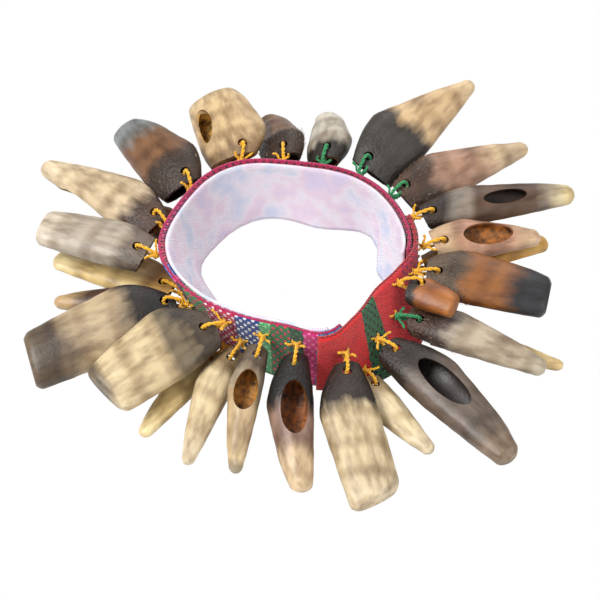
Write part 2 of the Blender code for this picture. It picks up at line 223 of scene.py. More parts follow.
def linear(code: str) -> tuple[float, float, float, float]:
    """Turn an sRGB hex colour into linear RGBA.

    Args:
        code: Six hex digits.

    Returns:
        The linear colour with full alpha.
    """
    parts = [int(code[i:i + 2], 16) / 255 for i in (0, 2, 4)]
    return (*[p / 12.92 if p <= 0.04045 else ((p + 0.055) / 1.055) ** 2.4 for p in parts], 1.0)


class Shader:
    """A Principled material with a helper that adds one node at a time."""

    def __init__(self, name: str, roughness: float) -> None:
        """Start a material with one roughness all over.

        Args:
            name: The material's name.
            roughness: Its roughness, from 0 to 1.
        """
        self.material = bpy.data.materials.new(name)
        self.material.use_nodes = True
        self.tree = self.material.node_tree
        self.principled = self.tree.nodes["Principled BSDF"]
        self.principled.inputs["Roughness"].default_value = roughness

    def add(self, kind: str, sockets: dict, output: int | str = 0,
            **settings: object) -> Socket:
        """Add one node, set or link its sockets and return one of its outputs.

        Args:
            kind: The node's type.
            sockets: Input name or index to a value or to another node's output.
            output: Which output to return.
            **settings: Properties of the node.

        Returns:
            The output socket.
        """
        node = self.tree.nodes.new(kind)
        for key, value in settings.items():
            setattr(node, key, value)
        for key, value in sockets.items():
            if isinstance(value, bpy.types.NodeSocket):
                self.tree.links.new(value, node.inputs[key])
            else:
                node.inputs[key].default_value = value
        return node.outputs[output]

    def link(self, socket: str, value: Socket) -> None:
        """Link an output to one of the Principled shader's inputs."""
        self.tree.links.new(value, self.principled.inputs[socket])

    def attribute(self, name: str, output: str = "Fac") -> Socket:
        """Read a mesh attribute."""
        return self.add("ShaderNodeAttribute", {}, output, attribute_name=name)

    def math(self, operation: str, a: Socket | float, b: Socket | float = 0.0) -> Socket:
        """Do one sum on two values."""
        return self.add("ShaderNodeMath", {0: a, 1: b}, operation=operation)

    def noise(self, size_mm: float, detail: float = 3.0,
              vector: Optional[Socket] = None) -> Socket:
        """Noise whose main grain is size_mm wide.

        Args:
            size_mm: Width of its main grain.
            detail: How many finer grains it has.
            vector: Where it is read, or the object's own coordinates.

        Returns:
            The pattern, from 0 to 1.
        """
        sockets = {"Scale": 1 / (size_mm * MM), "Detail": detail}
        sockets["Vector"] = vector or self.add("ShaderNodeTexCoord", {}, "Object")
        return self.add("ShaderNodeTexNoise", sockets)

    def bands(self, vector: Socket, wide_mm: float, distortion: float, swirl: float) -> Socket:
        """Wavy bands across the horn, about wide_mm apart.

        Args:
            vector: Where it is read.
            wide_mm: Rough distance from band to band.
            distortion: How far the bands wander.
            swirl: How fine the wandering is.

        Returns:
            The pattern, from 0 to 1.
        """
        return self.add("ShaderNodeTexWave", {
            "Vector": vector, "Scale": 0.05 / (wide_mm * MM), "Distortion": distortion,
            "Detail": 3.0, "Detail Scale": swirl}, "Fac", bands_direction="X")

    def mix(self, factor: Socket | float, a: object, b: object, blend: str = "MIX") -> Socket:
        """Mix two colours, or multiply them."""
        return self.add("ShaderNodeMix", {0: factor, 6: a, 7: b}, 2, data_type="RGBA",
                        blend_type=blend)

    def ramp(self, factor: Socket, stops: Stops, mode: str = "LINEAR") -> Socket:
        """Turn a value into a colour by stops of (place, hex).

        Args:
            factor: The value.
            stops: The colour at each place.
            mode: LINEAR to blend the stops, CONSTANT to step between them.

        Returns:
            The colour.
        """
        output = self.add("ShaderNodeValToRGB", {"Fac": factor})
        ramp = output.node.color_ramp
        ramp.interpolation = mode
        for i, (place, code) in enumerate(stops):
            stop = ramp.elements[i] if i < 2 else ramp.elements.new(place)
            stop.position = place
            stop.color = linear(code)
        return output

    def bump(self, height: Socket, depth_mm: float) -> None:
        """Raise the surface by a height pattern."""
        self.link("Normal", self.add("ShaderNodeBump", {
            "Height": height, "Distance": depth_mm * MM, "Strength": 1.0}))


def yarn_material(name: str, light: str, dark: str) -> bpy.types.Material:
    """Spun wool: matt fibres with painted shade in the valleys between them, which the eye reads as
    soft and hairy.

    Args:
        name: The material's name.
        light: Colour of the fibres.
        dark: Colour of the painted shade in the valleys between the fibres.

    Returns:
        The material.
    """
    shader = Shader(name, 0.92)
    fibre_bump_and_shade = shader.noise(0.35, 4.0)
    # Painted shade: the low places of the fibre bump get the dark colour and the high places the light
    # one.
    shader.link("Base Color", shader.ramp(fibre_bump_and_shade, [(0.3, dark), (0.62, light)]))
    shader.bump(fibre_bump_and_shade, 0.25)
    shader.principled.inputs["Sheen Weight"].default_value = 0.35
    return shader.material


def weave_height(shader: Shader, across_mm: float,
                 along_mm: float) -> tuple[Socket, Socket, Socket]:
    """Plain weave from the cloth's own UV, which is in metres.

    Args:
        shader: The material it is for.
        across_mm: Repeat round the loop.
        along_mm: Repeat up the strip.

    Returns:
        The weave's height, the place round the loop and the place up the strip.
    """
    cloth = shader.add("ShaderNodeUVMap", {}, uv_map="cloth")
    along = shader.add("ShaderNodeSeparateXYZ", {"Vector": cloth}, "X")
    rise = along.node.outputs["Y"]
    warp = shader.math("SINE", shader.math("MULTIPLY", along, math.tau / (across_mm * MM)))
    weft = shader.math("SINE", shader.math("MULTIPLY", rise, math.tau / (along_mm * MM)))
    return shader.math("MULTIPLY", warp, weft), along, rise


def woven_material(name: str, stops: Stops, marks: Stops) -> bpy.types.Material:
    """Hand-woven wool: upright bands of colour with short dashes, over a ribbed weave.

    Args:
        name: The material's name.
        stops: Colour bands as (share of the strip's length, hex).
        marks: Colour of the dashes in each band, in the same form.

    Returns:
        The material.
    """
    shader = Shader(name, 0.9)
    weave, along, rise = weave_height(shader, 1.1, 0.9)
    share = shader.attribute("share")
    wobble = shader.math("MULTIPLY", shader.math("SUBTRACT", shader.noise(2.0), 0.5), 0.012)
    place = shader.math("ADD", share, wobble)
    dash_a = shader.math("SINE", shader.math("MULTIPLY", along, math.tau / (2.4 * MM)))
    dash_b = shader.math("SINE", shader.math("MULTIPLY", rise, math.tau / (3.2 * MM)))
    dash = shader.math("GREATER_THAN", shader.math("MULTIPLY", dash_a, dash_b), 0.35)
    ground = shader.ramp(place, stops, "CONSTANT")
    pattern = shader.mix(dash, ground, shader.ramp(place, marks, "CONSTANT"))
    worn = shader.ramp(shader.noise(1.2, 4.0), [(0.2, "B8B8B8"), (0.5, "FFFFFF")])
    shader.link("Base Color", shader.mix(0.75, pattern, worn, "MULTIPLY"))
    height = shader.math("ADD", weave, shader.math("MULTIPLY", shader.noise(0.5), 0.8))
    shader.bump(height, 0.22)
    shader.principled.inputs["Sheen Weight"].default_value = 0.3
    return shader.material


def cotton_material() -> bpy.types.Material:
    """Thin washed cotton: white with faint lavender and pink tints, which reads as old lining.

    Returns:
        The material.
    """
    shader = Shader("washed_cotton", 0.88)
    weave, _, _ = weave_height(shader, 0.7, 0.7)
    tint = shader.ramp(shader.noise(9.0, 2.0), [(0.32, "CDD3E6"), (0.46, "E6E0E9"), (0.56, "E4D2E0"),
                                               (0.68, "D8CDE4")])
    shader.link("Base Color", tint)
    shader.bump(shader.math("ADD", shader.math("MULTIPLY", weave, 0.5), shader.noise(3.0)), 0.2)
    return shader.material


def horn_material(claw: Claw) -> bpy.types.Material:
    """Goat horn: a dark rough coronet, a paler waxy wall with growth lines and a worn toe.

    Args:
        claw: The claw that it is for.

    Returns:
        The material.
    """
    horn = claw.horn
    shader = Shader("goat_horn_" + claw.name, horn.gloss)
    local = shader.attribute("local", "Vector")
    along = shader.attribute("along")
    stretched = shader.add("ShaderNodeVectorMath", {0: local, 1: (0.35, 1.0, 1.0)},
                           operation="MULTIPLY")
    cloudy = shader.noise(4.0, 4.0, stretched)
    shift = shader.math("MULTIPLY", shader.math("SUBTRACT", cloudy, 0.5), 0.30)
    place = shader.math("ADD", along, shift)
    colour = shader.ramp(place, [(0.0, horn.neck), (horn.neck_end, horn.neck),
                                 (horn.neck_end + 0.10, horn.body), (horn.toe_start, horn.body),
                                 (min(horn.toe_start + 0.16, 0.99), horn.toe)])
    rings = shader.bands(local, 1.6, 9.0, 0.25)
    broad = shader.bands(local, 4.5, 4.0, 0.6)
    stripe = shader.add("ShaderNodeMapRange", {0: broad, 1: 0.70, 2: 0.92, 3: 0.0, 4: horn.stripes})
    colour = shader.mix(stripe, colour, linear(horn.stripe))
    fleck = shader.ramp(shader.noise(2.6, 6.0, stretched), [(0.30, "9A8468"), (0.60, "FFF8EC")])
    colour = shader.mix(0.75, colour, fleck, "MULTIPLY")
    lines = shader.ramp(rings, [(0.0, "A08A6C"), (0.5, "FFFFFF")])
    colour = shader.mix(0.35, colour, lines, "MULTIPLY")
    dried = shader.ramp(shader.noise(1.8, 4.0, local), [(0.3, "2A1A10"), (0.62, horn.inside)])
    shader.link("Base Color", shader.mix(shader.attribute("inside"), colour, dried))
    rough = shader.add("ShaderNodeMapRange", {0: along, 1: 0.05, 2: horn.neck_end + 0.12,
                                              3: 1.0, 4: 0.18})
    coarse = shader.math("MULTIPLY", shader.noise(0.9, 5.0, local), rough)
    shader.bump(shader.math("ADD", coarse, shader.math("MULTIPLY", rings, 0.10)), 0.5)
    shader.principled.inputs["Subsurface Weight"].default_value = 0.08
    shader.principled.inputs["Subsurface Radius"].default_value = (1.2 * MM, 0.7 * MM, 0.4 * MM)
    shader.principled.inputs["Subsurface Scale"].default_value = 1.0
    return shader.material


def hair_material() -> bpy.types.Material:
    """Goat hair left on the coronet: brown and white strands that give a soft outline.

    Returns:
        The material.
    """
    shader = Shader("goat_hair", 0.7)
    shader.link("Base Color", shader.ramp(shader.noise(0.8), [(0.35, "2E2019"), (0.5, "6B4E38"),
                                                             (0.62, "B9A88F")]))
    return shader.material


def rim_radius(table: tuple, azimuth: float) -> float:
    """Radius at an azimuth on the smooth closed curve through a table.

    Args:
        table: Rows of (azimuth, radius).
        azimuth: Degrees.

    Returns:
        The radius in millimetres.
    """
    count = len(table)
    azimuth %= 360.0
    index = max((i for i in range(count) if table[i][0] <= azimuth), default=count - 1)

    def point(i: int) -> tuple[float, float]:
        """Row i of the table, carried on past a full turn."""
        turns, place = divmod(i, count)
        return table[place][0] + 360.0 * turns, table[place][1]

    (a0, r0), (a1, r1), (a2, r2), (a3, r3) = (point(index + k) for k in (-1, 0, 1, 2))
    span = a2 - a1
    t = (azimuth - a1) / span
    slope1 = (r2 - r0) / (a2 - a0) * span
    slope2 = (r3 - r1) / (a3 - a1) * span
    return ((2 * t**3 - 3 * t**2 + 1) * r1 + (t**3 - 2 * t**2 + t) * slope1
            + (3 * t**2 - 2 * t**3) * r2 + (t**3 - t**2) * slope2)


def strip_point(azimuth: float, height: float, offset: float = 0.0) -> Vector:
    """Point on the woven strip's outer face.

    Args:
        azimuth: Degrees round the loop.
        height: Millimetres above the floor.
        offset: Millimetres out from the face.

    Returns:
        The point in millimetres.
    """
    share = height / STRIP_HEIGHT
    reach = (rim_radius(LOWER_EDGE, azimuth) * (1 - share) + rim_radius(TOP_RIM, azimuth) * share
             + offset)
    angle = math.radians(azimuth)
    return Vector((CENTRE_X + reach * math.cos(angle), CENTRE_Y + reach * math.sin(angle), height))


def to_object(bm: bmesh.types.BMesh, name: str, material: bpy.types.Material) -> bpy.types.Object:
    """Turn a bmesh into a linked, smooth-shaded object at the origin.

    Args:
        bm: The mesh, which is used up.
        name: The object's name.
        material: Its finish.

    Returns:
        The object.
    """
    mesh = bpy.data.meshes.new(name)
    bm.to_mesh(mesh)
    bm.free()
    mesh.shade_smooth()
    mesh.materials.append(material)
    item = bpy.data.objects.new(name, mesh)
    bpy.context.scene.collection.objects.link(item)
    return item


def loft(bm: bmesh.types.BMesh, rings: list[list], closed: bool = False) -> None:
    """Join each ring to the next with quads, and the last to the first if closed.

    Args:
        bm: The mesh it is added to.
        rings: Rings of as many points each.
        closed: Whether the last ring joins the first.
    """
    pairs = list(zip(rings, rings[1:])) + ([(rings[-1], rings[0])] if closed else [])
    for ring, following in pairs:
        for i in range(len(ring)):
            bm.faces.new((ring[i - 1], ring[i], following[i], following[i - 1]))


def sweep(bm: bmesh.types.BMesh, path: list[Vector], radius: float, sides: int = 6,
          closed: bool = False, taper: bool = False) -> None:
    """Add a tube along a path, both in millimetres.

    Args:
        bm: The mesh it is added to.
        path: Points along the tube.
        radius: The tube's radius.
        sides: Points in its section.
        closed: Whether the path is a loop.
        taper: Whether the tube ends in a point.
    """
    rings = []
    count = len(path)
    normal: Optional[Vector] = None
    for i, p in enumerate(path):
        ahead = path[(i + 1) % count] if closed else path[min(i + 1, count - 1)]
        behind = path[i - 1] if closed or i else path[0]
        along = (ahead - behind).normalized()
        normal = normal or along.orthogonal()
        normal = (normal - along * normal.dot(along)).normalized()
        across = along.cross(normal)
        size = radius * (1.05 - i / count if taper else 1.0)
        rings.append([bm.verts.new((p + (normal * math.cos(math.tau * k / sides)
                                         + across * math.sin(math.tau * k / sides)) * size) * MM)
                      for k in range(sides)])
    loft(bm, rings, closed)
    if not closed:
        bm.faces.new(rings[0][::-1])
        bm.faces.new(rings[-1])


def curve_through(points: list[Vector], steps: int, closed: bool) -> list[Vector]:
    """Smooth path through points.

    Args:
        points: Points that it passes through.
        steps: Points in each span.
        closed: Whether the path is a loop.

    Returns:
        The path's points.
    """
    count = len(points)
    path = []
    for i in range(count if closed else count - 1):
        p = [points[(i + k) % count] if closed else points[max(0, min(count - 1, i + k))]
             for k in (-1, 0, 1, 2)]
        for s in range(steps):
            t = s / steps
            path.append(0.5 * (2 * p[1] + (p[2] - p[0]) * t
                               + (2 * p[0] - 5 * p[1] + 4 * p[2] - p[3]) * t * t
                               + (3 * p[1] - p[0] - 3 * p[2] + p[3]) * t**3))
    return path if closed else path + [points[-1]]


def plied(bm: bmesh.types.BMesh, path: list[Vector], radius: float, closed: bool) -> None:
    """Add two-ply yarn: two strands twisted round a path, in millimetres.

    Args:
        bm: The mesh it is added to.
        path: Points along the yarn.
        radius: The yarn's radius.
        closed: Whether the path is a loop.
    """
    count = len(path)
    length = sum((path[i] - path[i - 1]).length for i in range(1, count))
    turns = max(1, round(length / PLY_TWIST))
    for ply in range(2):
        strand = []
        normal: Optional[Vector] = None
        for i, p in enumerate(path):
            ahead = path[(i + 1) % count] if closed else path[min(i + 1, count - 1)]
            behind = path[i - 1] if closed or i else path[0]
            along = (ahead - behind).normalized()
            normal = normal or along.orthogonal()
            normal = (normal - along * normal.dot(along)).normalized()
            angle = math.tau * turns * i / count + math.pi * ply
            strand.append(p + (normal * math.cos(angle) + along.cross(normal) * math.sin(angle))
                          * radius * 0.46)
        sweep(bm, strand, radius * 0.56, closed=closed)


@dataclass(frozen=True)
class ClothLoop:
    """The woven strip, its cotton lining, the lap panel and their sewn edges."""

    strip: tuple[float, float] = (-2.0, 292.0)
    lining: tuple[float, float] = (-2.0, 286.0)
    lap: tuple[float, float] = (280.0, 382.0)
    woven_thickness: float = 1.5
    lining_thickness: float = 0.9
    fold_depth: float = 3.2
    step: float = 1.0

    def panel(self, name: str, span: tuple[float, float], offset: Callable[[float, float], float],
              low: float, high: float, thickness: float,
              material: bpy.types.Material) -> tuple[bpy.types.Object, tuple[float, float]]:
        """Map a flat grid on the loop and give it its thickness.

        Args:
            name: The piece's name.
            span: First and last azimuth.
            offset: Middle of the cloth from the strip's outer face, by azimuth and height.
            low: Height of its lower edge.
            high: Height of its top edge.
            thickness: The cloth's thickness.
            material: Its finish.

        Returns:
            The piece, and its flat width and length in metres.
        """
        columns = round((span[1] - span[0]) / self.step)
        bm = bmesh.new()
        bmesh.ops.create_grid(bm, x_segments=columns, y_segments=CLOTH_ROWS, size=0.5)
        uv = bm.loops.layers.uv.new("cloth")
        share = bm.verts.layers.float.new("share")
        arc = [0.0]
        middle = (low + high) / 2
        for i in range(columns):
            a, b = (span[0] + (span[1] - span[0]) * k / columns for k in (i, i + 1))
            arc.append(arc[-1] + (strip_point(b, middle, offset(b, middle))
                                  - strip_point(a, middle, offset(a, middle))).length)
        for v in bm.verts:
            v[share] = v.co.x + 0.5
        for face in bm.faces:
            for corner in face.loops:
                x, y = corner.vert.co.x + 0.5, corner.vert.co.y + 0.5
                corner[uv].uv = (arc[round(x * columns)] * MM, (low + (high - low) * y) * MM)
        for v in bm.verts:
            azimuth = span[0] + (span[1] - span[0]) * (v.co.x + 0.5)
            height = low + (high - low) * (v.co.y + 0.5)
            soft = noise.noise(Vector((azimuth * 0.09, height * 0.22, middle)))
            v.co = strip_point(azimuth, height, offset(azimuth, height) + 0.14 * soft) * MM
        item = to_object(bm, name, material)
        solid = item.modifiers.new("thickness", "SOLIDIFY")
        solid.thickness = thickness * MM
        solid.offset = 0.0
        return item, ((high - low) * MM, round(arc[-1]) * MM)

    def trim(self, name: str, span: tuple[float, float], offset: float, height: float,
             radius: float, material: bpy.types.Material) -> bpy.types.Object:
        """Lay a plied edge yarn along a rim.

        Args:
            name: The piece's name.
            span: First and last azimuth.
            offset: Its distance out from the strip's outer face.
            height: Its height.
            radius: The yarn's radius.
            material: Its finish.

        Returns:
            The piece.
        """
        count = round(span[1] - span[0])
        path = [strip_point(span[0] + (span[1] - span[0]) * i / count, height, offset)
                for i in range(count + 1)]
        bm = bmesh.new()
        plied(bm, path, radius, False)
        return to_object(bm, name, material)

    def stitches(self, name: str, span: tuple[float, float], offset: float, height: float,
                 material: bpy.types.Material) -> bpy.types.Object:
        """Sew a row of short running stitches along a rim.

        Args:
            name: The piece's name.
            span: First and last azimuth.
            offset: Their distance out from the strip's outer face.
            height: Their height.
            material: Their finish.

        Returns:
            The piece.
        """
        bm = bmesh.new()
        azimuth = span[0]
        while azimuth < span[1]:
            ends = [strip_point(azimuth + 2.4 * t, height, offset + dip)
                    for t, dip in ((0.0, 0.5), (0.2, 0.0), (0.8, 0.0), (1.0, 0.5))]
            sweep(bm, ends, 0.16, 5)
            azimuth += 4.6
        return to_object(bm, name, material)

    def build(self) -> list[bpy.types.Object]:
        """Returns:
            The pieces.
        """
        # The second colour of each yarn is painted shade for the valleys between its fibres.
        magenta = yarn_material("magenta_selvedge", "C4185C", "6E0C34")
        thread = yarn_material("cotton_thread", "F4F0EA", "B8B0A8")
        half = self.woven_thickness / 2
        strip, strip_flat = self.panel("woven_cloth", self.strip, lambda a, z: -half, 0.8, 24.6,
                                       self.woven_thickness,
                                       woven_material("woven_wool", STRIP_BANDS, STRIP_DASHES))
        inner = -self.woven_thickness - 0.45 - self.lining_thickness / 2

        def folds(azimuth: float, height: float) -> float:
            """Middle of the lining, with soft folds that swell towards its lower edge."""
            wave = 0.5 - 0.5 * math.cos(math.radians(azimuth * FOLD_COUNT))
            crease = noise.noise(Vector((azimuth * 0.12, height * 0.1, 4.0)))
            swell = 1.0 - height / STRIP_HEIGHT
            return inner - self.fold_depth * wave * swell - 0.5 * abs(crease) * swell

        lining, lining_flat = self.panel("cotton_cloth", self.lining, folds, 1.2, 24.4,
                                         self.lining_thickness, cotton_material())
        lap, lap_flat = self.panel("lap_cloth", self.lap, lambda a, z: 0.3 + half, 0.8, 24.6,
                                   self.woven_thickness,
                                   woven_material("red_wool", LAP_BANDS, LAP_DASHES))
        edges = [self.trim("selvedge_top", self.strip, -half, 24.7, 0.55, magenta),
                 self.trim("selvedge_lower", self.strip, -half, 0.75, 0.55, magenta)]
        lap_edges = [self.trim("lap_edge_top", self.lap, 0.3 + half, 24.7, 0.5,
                               yarn_material("crimson_edge", "B0141E", "5E0A10"))]
        hem = self.stitches("lining_hem", self.lining, inner - self.lining_thickness / 2 - 0.1, 22.6,
                            thread)
        for piece, node, slot in ((strip, "woven_band", Slot.WOVEN),
                                  (lining, "cotton_lining", Slot.COTTON),
                                  (lap, "lap_panel", Slot.RED)):
            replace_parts(piece, node)
        pieces = [strip, lining, lap, *edges, *lap_edges, hem]
        for piece in pieces:
            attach(piece, "band")
        LOG.info("cloth: %s", ", ".join(p.name for p in pieces))
        return pieces


@dataclass(frozen=True)
class ClawShell:
    """One hollow horn shell with its yarn hole and, where it has one, its open mouth."""

    claw: Claw
    skin: float = 0.18
    ridge: float = 0.03

    def taper(self, station: float) -> float:
        """Scale of the section along the shell.

        Args:
            station: Place along the shell, from 0 at the neck to 1.

        Returns:
            The scale, which is 1 at the full body.
        """
        claw = self.claw
        if station <= FULL_BODY:
            return claw.neck + (1 - claw.neck) * math.sin(math.radians(90 * station / FULL_BODY))
        fall = (station - FULL_BODY) / (1 - FULL_BODY)
        rounding = max(0.0, fall - 0.55) ** 2 * 2.2 * (1 - claw.square)
        return (1 - (1 - claw.toe) * fall) * math.sqrt(1 - rounding)

    def section(self, station: float, inset: float, count: int) -> list[Vector]:
        """One ring of the shell, in millimetres: arched above, flatter below.

        Args:
            station: Place along the shell, from 0 to 1.
            inset: Distance in from the outer wall.
            count: Points in the ring.

        Returns:
            Points of the ring, in millimetres.
        """
        claw = self.claw
        scale = self.taper(station)
        half_depth = claw.depth * scale / 2 - inset
        half_width = claw.width * max(scale, 0.62) / 2 - inset
        drop = claw.straight * (1 - scale) * claw.depth / 2
        roll = math.radians(claw.roll)
        slant = math.tan(math.radians(claw.cut)) * station**2
        points = []
        for i in range(count):
            angle = math.tau * i / count
            across, up = half_width * math.cos(angle), half_depth * math.sin(angle)
            if up < 0:
                across = math.copysign(abs(math.cos(angle)) ** 0.7, math.cos(angle)) * half_width
                up *= 0.9
            if across < 0:
                across *= 0.85
            up -= drop
            points.append(Vector((up * slant, across * math.cos(roll) - up * math.sin(roll),
                                  across * math.sin(roll) + up * math.cos(roll))))
        return points

    def ring(self, station: float, inset: float, count: int = CAD_POINTS) -> list[Vector]:
        """Place a section along the shell, leaning back towards the open neck.

        Args:
            station: Place along the shell, from 0 to 1.
            inset: Distance in from the outer wall.
            count: Points in the ring.

        Returns:
            Points of the ring, in millimetres.
        """
        claw = self.claw
        rake = math.tan(math.radians(claw.rake))
        edge = min(-rake * p.z for p in self.section(0.0, 0.0, CAD_POINTS))
        reach = station * (claw.length - (2.0 if inset > WALL / 2 else 0.0))
        points = self.section(station, inset, count)
        for p in points:
            p.x += reach + (1 - station) ** 1.5 * (-rake * p.z - edge)
        return points

    def tie_frame(self) -> tuple[Vector, Vector, Vector]:
        """Where the yarn crosses the neck: rim point, along the wall and outward.

        Returns:
            The rim's point and the two directions.
        """
        first, second = self.ring(0.0, 0.0), self.ring(FIRST_STATION, 0.0)
        centre = sum(first, Vector()) / len(first)

        def turn_off(i: int) -> float:
            """Degrees between a point of the rim and straight up."""
            angle = math.degrees(math.atan2(first[i].z - centre.z, first[i].y - centre.y))
            return abs((angle - 90.0 + 180) % 360 - 180)

        chosen = min(range(CAD_POINTS), key=turn_off)
        rim = first[chosen]
        along = (second[chosen] - rim).normalized()
        outward = rim - centre
        outward.x = 0.0
        outward = (outward - along * outward.dot(along)).normalized()
        return rim, along, outward

    def knot_place(self) -> Vector:
        """The knot's centre in the shell's own frame."""
        rim, along, outward = self.tie_frame()
        return rim - along * RIM_FROM_KNOT - outward * (WALL / 2)

    def knot_on_cloth(self) -> Vector:
        """The knot's centre on the bracelet.

        Returns:
            The point in millimetres.
        """
        claw = self.claw
        lapped = LAPPED_FROM <= claw.azimuth or claw.azimuth <= LAPPED_TO
        return strip_point(claw.azimuth, claw.height,
                           (LAP_FACE if lapped else 0.0) + KNOT_GAP + KNOT_RADIUS)

    def placed(self) -> Matrix:
        """Matrix that lays the shell out from its knot.

        Returns:
            The matrix, in metres.
        """
        return (Matrix.Translation(self.knot_on_cloth() * MM)
                @ Matrix.Rotation(math.radians(self.claw.heading), 4, "Z")
                @ Matrix.Rotation(math.radians(self.claw.droop), 4, "Y"))

    def rough(self, p: Vector, station: float) -> Vector:
        """Growth ridges and a ragged coronet: a point moves only inwards or towards the toe.

        Args:
            p: A point of the outer wall.
            station: Its place along the shell.

        Returns:
            The moved point.
        """
        seed = float(self.claw.name) * 7.3
        wave = math.sin(p.x * 1.1 + 2.0 * noise.noise(Vector((p.y * 0.25, p.z * 0.25, seed))))
        lump = noise.noise(Vector((p.x * 0.16, p.y * 0.22, p.z * 0.22 + seed)))
        ragged = 0.5 * abs(noise.noise(Vector((p.y * 0.9, p.z * 0.9, seed)))) * max(0, 1 - station * 9)
        shrink = self.ridge * (wave + 1) * min(1.0, station * 4) + 0.25 * abs(lump)
        radial = Vector((0.0, p.y, p.z)).normalized()
        return p - radial * shrink + Vector((ragged, 0.0, 0.0))

    def lofted(self, material: bpy.types.Material) -> bpy.types.Object:
        """Loft the outer wall, the toe, the inner wall and the rim between them.

        Args:
            material: Its finish.

        Returns:
            The shell, in its own frame and without holes.
        """
        claw = self.claw
        origin = self.knot_place()
        bm = bmesh.new()
        stations = [LAST_STATION * i / OUTER_RINGS for i in range(OUTER_RINGS + 1)]
        outer = [[bm.verts.new((self.rough(p, s) - origin) * MM)
                  for p in self.ring(s, self.skin, RING_POINTS)] for s in stations]
        inner = [[bm.verts.new((p - origin) * MM)
                  for p in self.ring(INNER_END * i / INNER_RINGS, WALL, RING_POINTS)]
                 for i in range(INNER_RINGS + 1)]
        base = [v.co.copy() for v in outer[-1]]
        middle = sum(base, Vector()) / len(base)
        cap = 0.45 + 0.4 * claw.square
        toes = []
        for share in TOE_SHARES:
            scale = 1 - (1 - cap) * share**2 if len(toes) < len(TOE_SHARES) - 1 else cap * 0.5
            toes.append([bm.verts.new(middle + (p - middle) * scale
                                      + Vector((claw.length * 0.05 * share * MM, 0.0, 0.0)))
                         for p in base])
        loft(bm, toes[::-1] + outer[::-1] + inner)
        bm.faces.new(toes[-1])
        bm.faces.new(inner[-1])
        bmesh.ops.recalc_face_normals(bm, faces=bm.faces)
        return to_object(bm, "shell_" + claw.name, material)

    def cutter(self, size: tuple[float, float], depth: float, place: Vector, outward: Vector,
               along: Vector, material: bpy.types.Material) -> bpy.types.Object:
        """Make the round or oval solid that a hole is cut with.

        Args:
            size: Length along the claw and width.
            depth: Depth of the cut.
            place: The solid's centre.
            outward: Direction of the cut's depth.
            along: Direction of its length.
            material: Any finish.

        Returns:
            The solid.
        """
        bm = bmesh.new()
        bmesh.ops.create_cone(bm, cap_ends=True, segments=24, radius1=0.5, radius2=0.5, depth=1.0,
                              matrix=Matrix.Rotation(0.07, 4, "Z"))
        turn = Matrix((along * size[0], outward.cross(along) * size[1], outward * depth)).transposed()
        bmesh.ops.transform(bm, matrix=Matrix.Translation(place * MM) @ (turn * MM).to_4x4(),
                            verts=bm.verts)
        bmesh.ops.recalc_face_normals(bm, faces=bm.faces)
        return to_object(bm, "cutter", material)

    def cut(self, item: bpy.types.Object, cutters: list[bpy.types.Object]) -> None:
        """Cut the holes for good and drop their cutters.

        Args:
            item: The shell.
            cutters: The solids that are cut out of it.
        """
        for tool in cutters:
            hole = item.modifiers.new("hole", "BOOLEAN")
            hole.object, hole.operation, hole.solver = tool, "DIFFERENCE", "EXACT"
        seen = item.evaluated_get(bpy.context.evaluated_depsgraph_get())
        mesh = bpy.data.meshes.new_from_object(seen)
        item.modifiers.clear()
        item.data = mesh
        for tool in cutters:
            bpy.data.objects.remove(tool)

    def mark(self, mesh: bpy.types.Mesh) -> None:
        """Write where each point is on the horn, for its material.

        Args:
            mesh: The cut shell, in its own frame.
        """
        origin = self.knot_place()
        centres = [sum(ring, Vector()) / len(ring)
                   for ring in (self.ring(i / 20, 0.0) for i in range(21))]
        along = mesh.attributes.new("along", "FLOAT", "POINT")
        inside = mesh.attributes.new("inside", "FLOAT", "POINT")
        local = mesh.attributes.new("local", "FLOAT_VECTOR", "POINT")
        for v in mesh.vertices:
            p = v.co / MM + origin
            station = min(1.0, max(0.0, p.x / self.claw.length))
            radial = p - centres[round(station * 20)]
            radial.x = 0.0
            inward = v.normal.dot(radial.normalized()) < -0.15
            along.data[v.index].value = station
            inside.data[v.index].value = 1.0 if inward and station < 0.93 else 0.0
            local.data[v.index].vector = v.co

    def hair(self, material: bpy.types.Material) -> Optional[bpy.types.Object]:
        """Grow short hairs on the coronet, leaning towards the toe.

        Args:
            material: The hairs' finish.

        Returns:
            The piece, or None where the claw has no hair.
        """
        claw = self.claw
        if not claw.horn.hair:
            return None
        rng = random.Random(int(claw.name))
        origin = self.knot_place()
        bm = bmesh.new()
        for _ in range(claw.horn.hair):
            station = rng.uniform(0.02, claw.horn.neck_end + 0.06)
            ring = self.ring(station, 0.3, 36)
            root = rng.choice(ring)
            centre = sum(ring, Vector()) / len(ring)
            out = (root - centre).normalized()
            lean = Vector((rng.uniform(0.5, 1.3), rng.uniform(-0.4, 0.4), rng.uniform(-0.4, 0.4)))
            long = rng.uniform(0.8, 2.0)
            path = [root - origin, root - origin + out * 0.22 + lean * long * 0.45,
                    root - origin + out * 0.34 + lean * long * 0.9]
            sweep(bm, path, 0.055, 3, taper=True)
        item = to_object(bm, "coronet_hair_" + claw.name, material)
        item.data.transform(self.placed())
        return item

